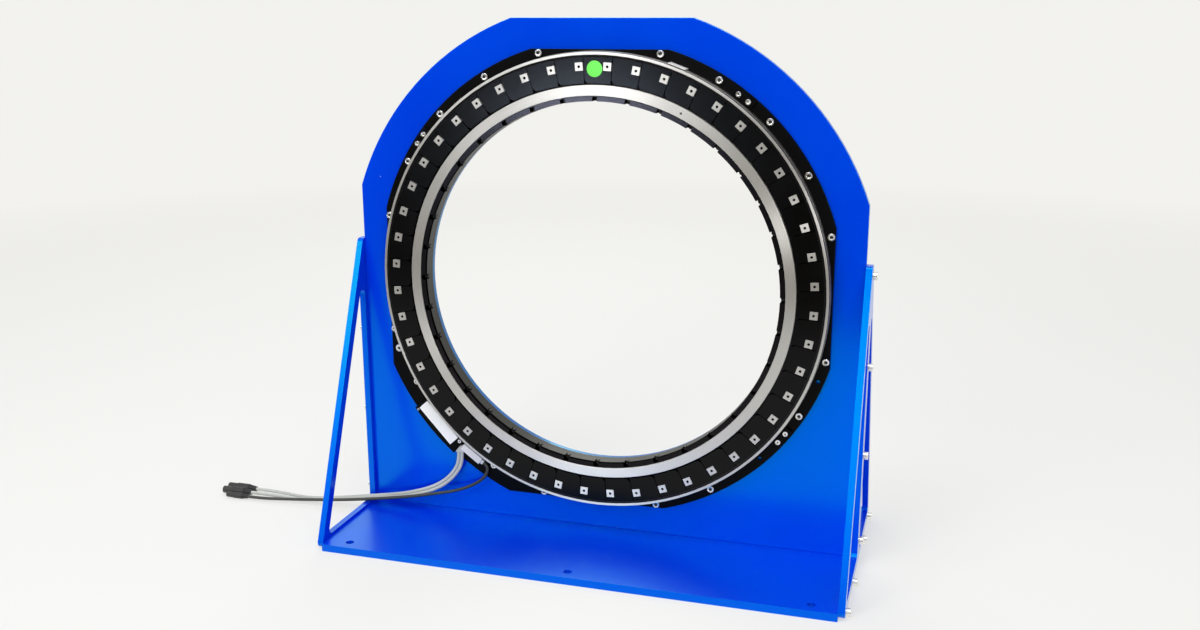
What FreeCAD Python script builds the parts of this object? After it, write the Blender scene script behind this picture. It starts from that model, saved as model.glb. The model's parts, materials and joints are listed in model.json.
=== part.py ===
import FreeCAD, Part
import math
import os
import re
import Sketcher
from FreeCAD import Placement, Rotation, Vector

# Precision rotation stage on an upright stand.
# +Z is up and +X is right, seen from the front. The stage faces -Y.
# The origin is under the middle of the base plate. Lengths in mm, angles in degrees.

doc = FreeCAD.newDocument("RotationStage")
sheet = doc.addObject("Spreadsheet::Sheet", "Sizes")

sizes = {
    # base plate
    "base_width": 676,
    "base_depth": 332,
    "base_thickness": 10,
    "base_hole_diameter": 11,
    "base_hole_side_margin": 33,
    "base_hole_front_margin": 16,
    # upright plate
    "plate_thickness": 10,
    "axis_above_base": 339,
    "plate_top_above_axis": 338,
    "plate_corner_radius": 358,
    "plate_bore_clearance": 1.3,
    # gussets
    "gusset_thickness": 8,
    "gusset_lift": 2,
    "gusset_top_above_axis": 45,
    "gusset_top_width": 19,
    "gusset_leg_width": 14,
    "gusset_post_width": 24,
    "gusset_sill_height": 12.5,
    "gusset_corner_radius": 7,
    "gusset_head_diameter": 10,
    "gusset_head_height": 6,
    "post_screw_low": 22,
    "post_screw_top_margin": 13,
    "post_screw_count": 4,
    "base_screw_inner": 66,
    "base_screw_outer": 147,
    # stator flange
    "flange_thickness": 5,
    "flange_across_flats": 600,
    "flange_corner_radius": 313,
    "flange_cable_radius": 327.2,
    "stage_screw_radius": 305.3,
    "stage_screw_pitch": 15,
    "stage_head_diameter": 9.5,
    "stage_head_height": 3,
    "screw_clearance": 0.5,
    "stage_hole_diameter": 5.5,
    "spare_hole_angle": -45,
    "side_hole_angle": -20.35,
    "earth_screw_angle": -159.8,
    "earth_screw_radius": 308.2,
    "earth_head_diameter": 11.5,
    "earth_head_height": 3,
    # crossed roller bearing
    "stage_height": 24,
    "ring_bore_radius": 237.5,
    "ring_recess": 0.5,
    "seam_radius": 243.9,
    "seam_gap": 0.5,
    "roller_circle_radius": 247,
    "roller_count": 18,
    "roller_diameter": 4,
    "roller_length": 3.8,
    "roller_level": 10,
    "race_clearance": 0.3,
    "cage_thickness": 0.6,
    "cage_clearance": 0.3,
    "cage_rim": 1,
    "rotor_clearance": 0.6,
    "notch_count": 36,
    "notch_width": 6.5,
    "notch_depth": 12,
    "notch_wall": 0.9,
    "ring_head_diameter": 5.5,
    "ring_head_height": 3,
    "ring_head_inset": 0.1,
    # rotor
    "silver_ring_radius": 257.3,
    "grease_hole_radius": 250.2,
    "grease_hole_angle": 64,
    "grease_hole_diameter": 3.2,
    "grease_hole_depth": 7,
    "shoulder_width": 4,
    "bond_gap": 0.05,
    "web_level": 15.7,
    "web_thickness": 2.5,
    "rim_radius": 294,
    "rim_thickness": 2.5,
    "rim_recess": 0.2,
    "collar_width": 3.3,
    "lip_radius": 297.4,
    "lip_recess": 0.4,
    "lip_thickness": 1,
    "drum_radius": 298.4,
    "drum_height": 10,
    "tile_recess": 0.5,
    "tile_inner_gap": 2,
    "tile_play": 0.2,
    "tile_seam_angle": 0.15,
    "tile_corner_radius": 7,
    "pad_count": 48,
    "pad_phase": 4.13,
    "pad_circle_radius": 280,
    "pad_side": 10,
    "pad_hole_diameter": 3.4,
    "pad_edge_gap": 0.7,
    "marker_diameter": 20,
    "marker_thickness": 0.2,
    "marker_radius": 277,
    # direct drive motor
    "magnet_inner_radius": 264,
    "magnet_outer_radius": 290,
    "magnet_thickness": 3.5,
    "motor_air_gap": 0.8,
    "coil_count": 24,
    "coil_gap_angle": 0.6,
    # encoder
    "head_angle": -36.89,
    "head_count": 3,
    "head_span": 180,
    "head_length": 30,
    "head_width": 10.5,
    "head_height": 4,
    "head_gap": 1.2,
    "head_screw_spread": 15.2,
    "head_screw_diameter": 7,
    "head_screw_height": 1.9,
    "index_angle": 69.9,
    "index_length": 23,
    "index_width": 1,
    "index_height": 17,
    "index_gap": 0.5,
    # cable corner
    "label_box_start": -144.6,
    "label_box_span": 14.6,
    "label_box_height": 7,
    "label_box_gap": 2.6,
    "label_box_width": 26,
    "label_angle": -138,
    "label_radius": 311.2,
    "label_length": 66.5,
    "label_width": 16.2,
    "label_thickness": 0.5,
    "label_head_diameter": 5.5,
    "label_head_height": 2,
    "label_pin_diameter": 3.2,
    "label_screw_margin": 0.8,
    "label_screw_radius": 306.6,
    "label_pin_radius": 323.6,
    "cable_block_angle": -126.4,
    "cable_block_radius": 310.4,
    "cable_block_length": 33,
    "cable_block_width": 10,
    "cable_block_height": 6.5,
    "motor_gland_right": -196,
    "motor_gland_width": 11,
    "motor_gland_height": 10,
    "motor_gland_bottom": 100,
    "sensor_gland_length": 4,
    "sensor_gland_width": 6,
    "sensor_gland_height": 5,
    # cables and plugs
    "motor_cable_diameter": 4.7,
    "motor_plug_diameter": 12,
    "motor_plug_length": 34,
    "motor_boot_diameter": 8,
    "motor_boot_length": 12,
    "sensor_cable_diameter": 4.4,
    "sensor_plug_diameter": 9,
    "sensor_plug_length": 26,
    "sensor_boot_diameter": 6,
    "sensor_boot_length": 9,
}
for row, (name, number) in enumerate(sizes.items(), start=1):
    sheet.set(f"A{row}", name)
    sheet.set(f"B{row}", str(number))
    sheet.setAlias(f"B{row}", name)
doc.recompute()

parts = []

# heights over the front of the upright plate, and radii that several pieces share
axis_height = "(base_thickness + axis_above_base)"
web_top = "(web_level + web_thickness)"
race_depth = "((roller_diameter / 2 + race_clearance) * sqrt(2))"
half_gap = "(cage_thickness / 2 + cage_clearance)"
cage_half_height = "((sqrt(roller_diameter^2 + roller_length^2)) / 2 + race_clearance + cage_rim)"
tile_inner_radius = "(silver_ring_radius + tile_inner_gap)"
tile_outer_radius = "(rim_radius - rim_thickness - tile_play)"
tile_pitch = "(360 / pad_count)"


def size(name):
    return float(sheet.get(name))


def formula(text):
    return re.sub(r"[a-z_]+", lambda word: "Sizes." + word[0] if word[0] in sizes else word[0], text)


def bind(thing, prop, text):
    thing.setExpression(prop, formula(text))


def origin_feature(body, role):
    return next(item for item in body.Origin.OriginFeatures if item.Role == role)


def new_body(label):
    body = doc.addObject("PartDesign::Body", label)
    body.Label = label
    body.AllowCompound = True
    parts.append(body)
    return body


def stage_body(label, turn=0.0):
    # local z is the height over the upright plate, local x and y lie in its face
    body = new_body(label)
    body.Placement = Placement(Vector(), Rotation(Vector(1, 0, 0), 90) * Rotation(Vector(0, 0, 1), turn))
    bind(body, "Placement.Base.y", "-plate_thickness / 2")
    bind(body, "Placement.Base.z", axis_height)
    return body


def new_sketch(body, name, plane, lift=None, turn=0.0):
    sketch = body.newObject("Sketcher::SketchObject", name)
    sketch.AttachmentSupport = (origin_feature(body, plane), [""])
    sketch.MapMode = "FlatFace"
    sketch.AttachmentOffset = Placement(Vector(), Rotation(Vector(0, 0, 1), turn))
    if lift is not None:
        bind(sketch, "AttachmentOffset.Base.z", lift)
    return sketch


def polygon(sketch, corners):
    # a closed outline that starts as a regular one, and whose corners are then placed by formulas
    first = sketch.GeometryCount
    count = len(corners)
    reach = size("plate_thickness")
    for number in range(count):
        angle = 2 * math.pi * number / count
        ahead = 2 * math.pi * (number + 1) / count
        start = Vector(reach * math.cos(angle), reach * math.sin(angle), 0)
        end = Vector(reach * math.cos(ahead), reach * math.sin(ahead), 0)
        sketch.addGeometry(Part.LineSegment(start, end), False)
    for number in range(count):
        line = first + number
        following = first + (number + 1) % count
        sketch.addConstraint(Sketcher.Constraint("Coincident", line, 2, following, 1))
    for number, (across, up) in enumerate(corners):
        for kind, text in (("DistanceX", across), ("DistanceY", up)):
            place = sketch.addConstraint(Sketcher.Constraint(kind, -1, 1, first + number, 1, 1.0))
            bind(sketch, f"Constraints[{place}]", text)


def rectangle(sketch, left, bottom, right, top):
    polygon(sketch, [(left, bottom), (right, bottom), (right, top), (left, top)])


def circle(sketch, across, up, diameter):
    place = sketch.addGeometry(Part.Circle(Vector(10, 10, 0), Vector(0, 0, 1), 5), False)
    for kind, text in (("DistanceX", across), ("DistanceY", up)):
        limit = sketch.addConstraint(Sketcher.Constraint(kind, -1, 1, place, 3, 1.0))
        bind(sketch, f"Constraints[{limit}]", text)
    limit = sketch.addConstraint(Sketcher.Constraint("Diameter", place, 10.0))
    bind(sketch, f"Constraints[{limit}]", diameter)


def pad(body, sketch, name, length):
    feature = body.newObject("PartDesign::Pad", name)
    feature.Profile = sketch
    bind(feature, "Length", length)
    return feature


def pocket(body, sketch, name, depth):
    feature = body.newObject("PartDesign::Pocket", name)
    feature.Profile = sketch
    bind(feature, "Length", depth)
    return feature


def revolve(body, corners, name, angle="360"):
    # corners are (radius, height)
    sketch = new_sketch(body, name + "_profile", "XZ_Plane")
    polygon(sketch, corners)
    feature = body.newObject("PartDesign::Revolution", name)
    feature.Profile = sketch
    feature.ReferenceAxis = (sketch, ["V_Axis"])
    bind(feature, "Angle", angle)
    return feature


def repeat(body, features, name, count, span="360"):
    pattern = body.newObject("PartDesign::PolarPattern", name)
    pattern.Originals = features
    pattern.Axis = (origin_feature(body, "Z_Axis"), [""])
    bind(pattern, "Angle", span)
    bind(pattern, "Occurrences", count)
    body.Tip = pattern
    return pattern


def ring(label, inner, low, outer, high):
    body = stage_body(label)
    revolve(body, [(inner, low), (outer, low), (outer, high), (inner, high)], label + "_turned")
    return body


def group(label, shapes):
    feature = doc.addObject("Part::Feature", label)
    feature.Label = label
    feature.Shape = Part.makeCompound(shapes)
    parts.append(feature)
    return feature


def on_stage(radius, angle, height):
    # a point of the stage from its polar place in the plate's face
    turn = math.radians(angle)
    return Vector(radius * math.cos(turn),
                  -size("plate_thickness") / 2 - height,
                  size("base_thickness") + size("axis_above_base") + radius * math.sin(turn))


def stage_block(label, angle, radius, length, width, height):
    # a block on the flange, long along the tangent, whose middle is at the given radius
    body = stage_body(label, size(angle))
    sketch = new_sketch(body, label + "_outline", "XY_Plane", "flange_thickness")
    rectangle(sketch, f"{radius} - {width} / 2", f"-{length} / 2", f"{radius} + {width} / 2", f"{length} / 2")
    pad(body, sketch, label + "_block", height)
    return body


def make_base():
    body = new_body("base_plate")
    outline = new_sketch(body, "base_outline", "XY_Plane")
    rectangle(outline, "-base_width / 2", "-base_depth / 2", "base_width / 2", "base_depth / 2")
    pad(body, outline, "base_slab", "base_thickness")
    holes = new_sketch(body, "base_holes", "XY_Plane", "base_thickness")
    for across in ("-base_width / 2 + base_hole_side_margin", "0", "base_width / 2 - base_hole_side_margin"):
        for along in ("-base_depth / 2 + base_hole_front_margin", "base_depth / 2 - base_hole_front_margin"):
            circle(holes, across, along, "base_hole_diameter")
    pocket(body, holes, "base_drilling", "base_thickness")


def make_upright_plate():
    head = doc.addObject("Part::Box", "plate_head_blank")
    foot = doc.addObject("Part::Box", "plate_foot")
    for box, level, height in ((head, axis_height, "plate_top_above_axis"),
                               (foot, "base_thickness", "axis_above_base")):
        bind(box, "Length", "base_width")
        bind(box, "Width", "plate_thickness")
        bind(box, "Height", height)
        bind(box, "Placement.Base.x", "-base_width / 2")
        bind(box, "Placement.Base.y", "-plate_thickness / 2")
        bind(box, "Placement.Base.z", level)
    discs = []
    for name, radius in (("plate_round", "plate_corner_radius"),
                         ("plate_bore", "ring_bore_radius + plate_bore_clearance")):
        disc = doc.addObject("Part::Cylinder", name)
        disc.Placement = Placement(Vector(), Rotation(Vector(1, 0, 0), 90))
        bind(disc, "Radius", radius)
        bind(disc, "Height", "plate_thickness")
        bind(disc, "Placement.Base.y", "plate_thickness / 2")
        bind(disc, "Placement.Base.z", axis_height)
        discs.append(disc)
    rounded = doc.addObject("Part::Common", "plate_head")
    rounded.Base = head
    rounded.Tool = discs[0]
    blank = doc.addObject("Part::Fuse", "plate_blank")
    blank.Base = rounded
    blank.Tool = foot
    blank.Refine = True
    plate = doc.addObject("Part::Cut", "upright_plate")
    plate.Label = "upright_plate"
    plate.Base = blank
    plate.Tool = discs[1]
    parts.append(plate)


def make_gusset(label, place):
    body = new_body(label)
    bind(body, "Placement.Base.x", place)
    top = f"({axis_height} + gusset_top_above_axis)"
    slope = f"((base_depth - gusset_top_width) / 2 / ({top} - gusset_lift))"
    outline = new_sketch(body, label + "_outline", "YZ_Plane")
    polygon(outline, [("-base_depth / 2", "gusset_lift"), ("base_depth / 2", "gusset_lift"),
                      ("gusset_top_width / 2", top), ("-gusset_top_width / 2", top)])
    pad(body, outline, label + "_sheet", "gusset_thickness")
    windows = new_sketch(body, label + "_windows", "YZ_Plane", "gusset_thickness")
    sill = "(gusset_lift + gusset_sill_height)"
    reach = "(base_depth / 2 - gusset_leg_width)"
    apex = f"(gusset_lift + ({reach} - gusset_post_width / 2) / {slope})"
    for side in ("-1", "1"):
        polygon(windows, [(f"{side} * gusset_post_width / 2", sill),
                          (f"{side} * ({reach} - gusset_sill_height * {slope})", sill),
                          (f"{side} * gusset_post_width / 2", apex)])
    opened = pocket(body, windows, label + "_opening", "gusset_thickness")
    doc.recompute()
    rounding = body.newObject("PartDesign::Fillet", label + "_rounding")
    edges = []
    for number, edge in enumerate(opened.Shape.Edges, start=1):
        if abs(edge.tangentAt(edge.FirstParameter).x) > 0.99:
            edges.append(f"Edge{number}")
    rounding.Base = (opened, edges)
    bind(rounding, "Radius", "gusset_corner_radius")
    body.Tip = rounding


def make_gusset_screws(label, side):
    face = side * (size("base_width") / 2 + size("gusset_thickness"))
    axis = size("base_thickness") + size("axis_above_base")
    low = size("base_thickness") + size("post_screw_low")
    high = axis + size("gusset_top_above_axis") - size("post_screw_top_margin")
    count = int(size("post_screw_count"))
    places = [(0, low + (high - low) * step / (count - 1)) for step in range(count)]
    for along in (size("base_screw_inner"), size("base_screw_outer")):
        places += [(along, size("base_thickness") / 2), (-along, size("base_thickness") / 2)]
    heads = []
    for along, level in places:
        heads.append(Part.makeCylinder(size("gusset_head_diameter") / 2, size("gusset_head_height"),
                                       Vector(face, along, level), Vector(side, 0, 0)))
    group(label, heads)


def make_flange():
    def disc(name, radius):
        cylinder = doc.addObject("Part::Cylinder", name)
        bind(cylinder, "Radius", radius)
        bind(cylinder, "Height", "flange_thickness")
        return cylinder

    def square(name, across, shift):
        box = doc.addObject("Part::Box", name)
        for side in ("Length", "Width"):
            bind(box, side, across)
        bind(box, "Height", "flange_thickness")
        bind(box, "Placement.Base.x", shift)
        bind(box, "Placement.Base.y", shift)
        return box

    corner = doc.addObject("Part::Common", "flange_cable_corner")
    corner.Base = square("flange_quarter", "flange_cable_radius", "-flange_cable_radius")
    corner.Tool = disc("flange_cable_disc", "flange_cable_radius")
    blank = doc.addObject("Part::Fuse", "flange_blank")
    blank.Base = disc("flange_disc", "flange_corner_radius")
    blank.Tool = corner
    blank.Refine = True
    trimmed = doc.addObject("Part::Common", "flange_trimmed")
    trimmed.Base = blank
    trimmed.Tool = square("flange_square", "flange_across_flats", "-flange_across_flats / 2")
    bored = doc.addObject("Part::Cut", "flange_bored")
    bored.Base = trimmed
    bored.Tool = disc("flange_bore", "ring_bore_radius")
    flange = bored
    for angle in ("spare_hole_angle", "side_hole_angle"):
        hole = disc(angle.replace("angle", "drill"), "stage_hole_diameter / 2")
        bind(hole, "Placement.Base.x", f"stage_screw_radius * cos({angle})")
        bind(hole, "Placement.Base.y", f"stage_screw_radius * sin({angle})")
        drilled = doc.addObject("Part::Cut", angle.replace("angle", "drilled"))
        drilled.Base = flange
        drilled.Tool = hole
        flange = drilled
    flange.Label = "stator_flange"
    flange.Placement = Placement(Vector(), Rotation(Vector(1, 0, 0), 90))
    bind(flange, "Placement.Base.y", "-plate_thickness / 2")
    bind(flange, "Placement.Base.z", axis_height)
    parts.append(flange)


def stage_head(radius, angle, level, diameter, height):
    return Part.makeCylinder(diameter / 2, height, on_stage(radius, angle, level), Vector(0, -1, 0))


def head_angles():
    count = int(size("head_count"))
    return [size("head_angle") + size("head_span") / (count - 1) * step for step in range(count)]


def make_stage_screws():
    # an even ring of screws, with none where the flange is flat or where something else stands on it
    radius = size("stage_screw_radius")
    margin = size("stage_head_diameter") / 2 + size("screw_clearance")
    box_half = size("label_box_span") / 2
    taken = [(size("label_box_start") + box_half, math.radians(box_half) * radius)]
    taken += [(angle, size("head_length") / 2) for angle in head_angles()]
    for angle, length in (("spare_hole_angle", "stage_hole_diameter"), ("side_hole_angle", "stage_hole_diameter"),
                          ("earth_screw_angle", "earth_head_diameter"), ("index_angle", "index_length"),
                          ("cable_block_angle", "cable_block_length")):
        taken.append((size(angle), size(length) / 2))
    pitch = size("stage_screw_pitch")
    heads = []
    for step in range(round(360 / pitch)):
        angle = step * pitch
        turn = math.radians(angle)
        across = radius * max(abs(math.cos(turn)), abs(math.sin(turn)))
        free = across + size("stage_head_diameter") / 2 < size("flange_across_flats") / 2
        for middle, half in taken:
            apart = abs((angle - middle + 180) % 360 - 180)
            free = free and math.radians(apart) * radius > half + margin
        if free:
            heads.append(stage_head(radius, angle, size("flange_thickness"),
                                    size("stage_head_diameter"), size("stage_head_height")))
    group("stage_screws", heads)
    group("earth_screw", [stage_head(size("earth_screw_radius"), size("earth_screw_angle"),
                                     size("flange_thickness"), size("earth_head_diameter"),
                                     size("earth_head_height"))])


def make_bearing():
    inner_wall = f"(roller_circle_radius - {half_gap})"
    outer_wall = f"(roller_circle_radius + {half_gap})"
    groove = f"({race_depth} - {half_gap})"
    step_level = f"(roller_level + {cage_half_height} + rotor_clearance)"
    top = "(stage_height - ring_recess)"
    fixed = stage_body("bearing_inner_ring")
    turned = revolve(fixed, [
        ("ring_bore_radius", "flange_thickness"),
        (inner_wall, "flange_thickness"),
        (inner_wall, f"roller_level - {groove}"),
        (f"roller_circle_radius - {race_depth}", "roller_level"),
        (inner_wall, f"roller_level + {groove}"),
        (inner_wall, step_level),
        ("seam_radius", step_level),
        ("seam_radius", top),
        ("ring_bore_radius", top)], "inner_ring_turned")
    notch = new_sketch(fixed, "notch_outline", "XY_Plane", top)
    rectangle(notch, "ring_bore_radius - notch_width", "-notch_width / 2",
              "seam_radius - notch_wall", "notch_width / 2")
    cut = pocket(fixed, notch, "notch_milled", "notch_depth")
    repeat(fixed, [cut], "notches", "notch_count")

    turning = stage_body("bearing_outer_ring")
    bottom = "(flange_thickness + rotor_clearance)"
    lid = f"({step_level} + rotor_clearance)"
    revolve(turning, [
        (outer_wall, bottom),
        ("silver_ring_radius + shoulder_width", bottom),
        ("silver_ring_radius + shoulder_width", "web_level"),
        ("silver_ring_radius", "web_level"),
        ("silver_ring_radius", "stage_height"),
        ("seam_radius + seam_gap", "stage_height"),
        ("seam_radius + seam_gap", lid),
        (outer_wall, lid),
        (outer_wall, f"roller_level + {groove}"),
        (f"roller_circle_radius + {race_depth}", "roller_level"),
        (outer_wall, f"roller_level - {groove}")], "outer_ring_turned")
    grease = new_sketch(turning, "grease_hole_outline", "XY_Plane", "stage_height")
    circle(grease, "grease_hole_radius * cos(grease_hole_angle)", "grease_hole_radius * sin(grease_hole_angle)",
           "grease_hole_diameter")
    pocket(turning, grease, "grease_hole", "grease_hole_depth")

    cage = stage_body("roller_cage")
    revolve(cage, [
        ("roller_circle_radius - cage_thickness / 2", f"roller_level - {cage_half_height}"),
        ("roller_circle_radius + cage_thickness / 2", f"roller_level - {cage_half_height}"),
        ("roller_circle_radius + cage_thickness / 2", f"roller_level + {cage_half_height}"),
        ("roller_circle_radius - cage_thickness / 2", f"roller_level + {cage_half_height}")], "cage_band")
    window = new_sketch(cage, "cage_window", "YZ_Plane", "roller_circle_radius + cage_thickness")
    rectangle(window, "-roller_diameter / 2 - race_clearance", f"roller_level - {cage_half_height} + cage_rim",
              "roller_diameter / 2 + race_clearance", f"roller_level + {cage_half_height} - cage_rim")
    punched = pocket(cage, window, "cage_punched", "2 * cage_thickness")
    repeat(cage, [punched], "cage_windows", "roller_count")

    # neighbouring rollers lean opposite ways, so that one ring of them takes load from every side
    count = int(size("roller_count"))
    rollers = []
    for step in range(count):
        lean = 45 if step % 2 else -45
        roller = Part.makeCylinder(size("roller_diameter") / 2, size("roller_length"),
                                   Vector(0, 0, -size("roller_length") / 2))
        roller.rotate(Vector(), Vector(0, 1, 0), lean)
        roller.translate(Vector(size("roller_circle_radius"), 0, size("roller_level")))
        roller.rotate(Vector(), Vector(0, 0, 1), 360 / count * step)
        roller.rotate(Vector(), Vector(1, 0, 0), 90)
        roller.translate(on_stage(0, 0, 0))
        rollers.append(roller)
    group("bearing_rollers", rollers)


def make_ring_screws():
    count = int(size("notch_count"))
    level = size("stage_height") - size("ring_recess") - size("notch_depth")
    reach = size("seam_radius") - size("notch_wall")
    radius = reach - size("ring_head_inset") - size("ring_head_diameter") / 2
    heads = []
    for step in range(count):
        heads.append(stage_head(radius, 360 / count * step, level,
                                size("ring_head_diameter"), size("ring_head_height")))
    group("inner_ring_screws", heads)


def make_rotor():
    lip_seat = "(stage_height - lip_recess - lip_thickness)"
    collar_radius = "rim_radius + collar_width"
    rim_inner = "rim_radius - rim_thickness"
    bore = "silver_ring_radius + bond_gap"
    rim_top = "stage_height - rim_recess"
    table = stage_body("rotor_table")
    revolve(table, [
        (bore, "web_level"), (collar_radius, "web_level"),
        (collar_radius, lip_seat), ("rim_radius", lip_seat),
        ("rim_radius", rim_top), (rim_inner, rim_top),
        (rim_inner, web_top), (bore, web_top)], "table_turned")
    ring("rim_lip", "rim_radius + bond_gap", lip_seat, "lip_radius", "stage_height - lip_recess")
    ring("scale_drum", "rim_radius", "web_level - drum_height", "drum_radius", "web_level")
    ring("magnet_ring", "magnet_inner_radius", "web_level - magnet_thickness", "magnet_outer_radius", "web_level")

    seam_offset = math.degrees((size("pad_side") / 2 + size("pad_edge_gap")) / size("pad_circle_radius"))
    tiles = stage_body("rotor_tiles", size("pad_phase") - seam_offset)
    tile_top = "(stage_height - tile_recess)"
    sector = revolve(tiles, [
        (tile_inner_radius, web_top), (tile_outer_radius, web_top),
        (tile_outer_radius, tile_top), (tile_inner_radius, tile_top)],
        "tile_sector", f"{tile_pitch} - tile_seam_angle")
    hole = new_sketch(tiles, "tile_notch_outline", "XY_Plane", tile_top, seam_offset)
    rectangle(hole, "pad_circle_radius - pad_side / 2 - tile_play", "-pad_side / 2 - pad_edge_gap - tile_play",
              "pad_circle_radius + pad_side / 2 + tile_play", "pad_side / 2 + tile_play")
    notch = pocket(tiles, hole, "tile_notch", f"{tile_top} - {web_top}")
    # the far inner corner is cut away square, and a disc gives it back round
    far_edge = 360 / size("pad_count") - size("tile_seam_angle")
    square = new_sketch(tiles, "tile_corner_square", "XY_Plane", tile_top, far_edge)
    rectangle(square, f"{tile_inner_radius} - tile_play", "-tile_corner_radius",
              f"{tile_inner_radius} + tile_corner_radius", "tile_play")
    cut = pocket(tiles, square, "tile_corner_cut", f"{tile_top} - {web_top}")
    disc = new_sketch(tiles, "tile_corner_disc", "XY_Plane", web_top, far_edge)
    circle(disc, f"{tile_inner_radius} + tile_corner_radius", "-tile_corner_radius", "2 * tile_corner_radius")
    rounded = pad(tiles, disc, "tile_corner_round", f"{tile_top} - {web_top}")
    repeat(tiles, [sector, notch, cut, rounded], "tiles", "pad_count")

    pads = stage_body("mounting_pads", size("pad_phase"))
    square = new_sketch(pads, "pad_outline", "XY_Plane", web_top)
    rectangle(square, "pad_circle_radius - pad_side / 2", "-pad_side / 2",
              "pad_circle_radius + pad_side / 2", "pad_side / 2")
    circle(square, "pad_circle_radius", "0", "pad_hole_diameter")
    post = pad(pads, square, "pad_post", f"stage_height - {web_top}")
    repeat(pads, [post], "pad_ring", "pad_count")

    marker = stage_body("home_marker")
    dot = new_sketch(marker, "marker_outline", "XY_Plane", tile_top)
    circle(dot, "0", "marker_radius", "marker_diameter")
    pad(marker, dot, "marker_disc", "marker_thickness")


def make_motor():
    coils = stage_body("motor_coils")
    top = "(web_level - magnet_thickness - motor_air_gap)"
    sector = revolve(coils, [
        ("magnet_inner_radius", "flange_thickness"), ("magnet_outer_radius", "flange_thickness"),
        ("magnet_outer_radius", top), ("magnet_inner_radius", top)],
        "coil_sector", "360 / coil_count - coil_gap_angle")
    repeat(coils, [sector], "coils", "coil_count")


def make_encoder():
    middle = "(drum_radius + head_gap + head_width / 2)"
    heads = stage_body("encoder_heads", size("head_angle"))
    outline = new_sketch(heads, "head_outline", "XY_Plane", "flange_thickness")
    rectangle(outline, f"{middle} - head_width / 2", "-head_length / 2",
              f"{middle} + head_width / 2", "head_length / 2")
    block = pad(heads, outline, "head_block", "head_height")
    repeat(heads, [block], "head_ring", "head_count", "head_span")

    radius = size("drum_radius") + size("head_gap") + size("head_width") / 2
    half_turn = math.degrees(size("head_screw_spread") / 2 / radius)
    screws = []
    for angle in head_angles():
        for side in (-half_turn, half_turn):
            screws.append(stage_head(radius, angle + side, size("flange_thickness") + size("head_height"),
                                     size("head_screw_diameter"), size("head_screw_height")))
    group("encoder_head_screws", screws)
    stage_block("index_plate", "index_angle", "(drum_radius + index_gap + index_width / 2)",
                "index_length", "index_width", "index_height")


def make_label_box():
    box = stage_body("label_box", size("label_box_start"))
    inner = "drum_radius + label_box_gap"
    outer = f"{inner} + label_box_width"
    box_top = "(flange_thickness + label_box_height)"
    revolve(box, [(inner, "flange_thickness"), (outer, "flange_thickness"), (outer, box_top), (inner, box_top)],
            "label_box_arc", "label_box_span")
    label = stage_body("label_plate", size("label_angle"))
    outline = new_sketch(label, "label_outline", "XY_Plane", box_top)
    rectangle(outline, "label_radius - label_width / 2", "-label_length / 2",
              "label_radius + label_width / 2", "label_length / 2")
    pad(label, outline, "label_sheet", "label_thickness")
    first = size("label_box_start") + size("label_screw_margin")
    last = size("label_box_start") + size("label_box_span") - size("label_screw_margin")
    level = size("flange_thickness") + size("label_box_height")
    height = size("label_head_height")
    pin = stage_head(size("label_pin_radius"), first, level, size("label_pin_diameter"), height)
    screw = stage_head(size("label_screw_radius"), last, level, size("label_head_diameter"), height)
    group("label_box_screws", [pin, screw])
    return box


def make_cable_corner(label_box):
    # the motor gland fills the corner between the label box and the cable block
    block = doc.addObject("Part::Box", "cable_block")
    block.Label = "cable_block"
    bind(block, "Length", "cable_block_width")
    bind(block, "Width", "cable_block_length")
    bind(block, "Height", "cable_block_height")
    turn = Rotation(Vector(1, 0, 0), 90) * Rotation(Vector(0, 0, 1), size("cable_block_angle"))
    corner = Vector(size("cable_block_radius") - size("cable_block_width") / 2,
                    -size("cable_block_length") / 2, size("flange_thickness"))
    block.Placement = Placement(on_stage(0, 0, 0) + turn.multVec(corner), turn)
    parts.append(block)
    lug = doc.addObject("Part::Box", "motor_gland_lug")
    bind(lug, "Length", "motor_gland_width")
    bind(lug, "Width", "cable_block_height")
    bind(lug, "Height", "motor_gland_height")
    bind(lug, "Placement.Base.x", "motor_gland_right - motor_gland_width")
    bind(lug, "Placement.Base.y", "-plate_thickness / 2 - flange_thickness - cable_block_height")
    bind(lug, "Placement.Base.z", "motor_gland_bottom")
    beside_block = doc.addObject("Part::Cut", "motor_gland_beside_block")
    beside_block.Base = lug
    beside_block.Tool = block
    gland = doc.addObject("Part::Cut", "motor_gland")
    gland.Label = "motor_gland"
    gland.Base = beside_block
    gland.Tool = label_box
    parts.append(gland)

    relief = stage_body("sensor_gland", size("cable_block_angle"))
    outline = new_sketch(relief, "relief_outline", "XY_Plane", "flange_thickness")
    rectangle(outline, "cable_block_radius - sensor_gland_width / 2", "cable_block_length / 2",
              "cable_block_radius + sensor_gland_width / 2", "cable_block_length / 2 + sensor_gland_length")
    pad(relief, outline, "relief_block", "sensor_gland_height")


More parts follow.
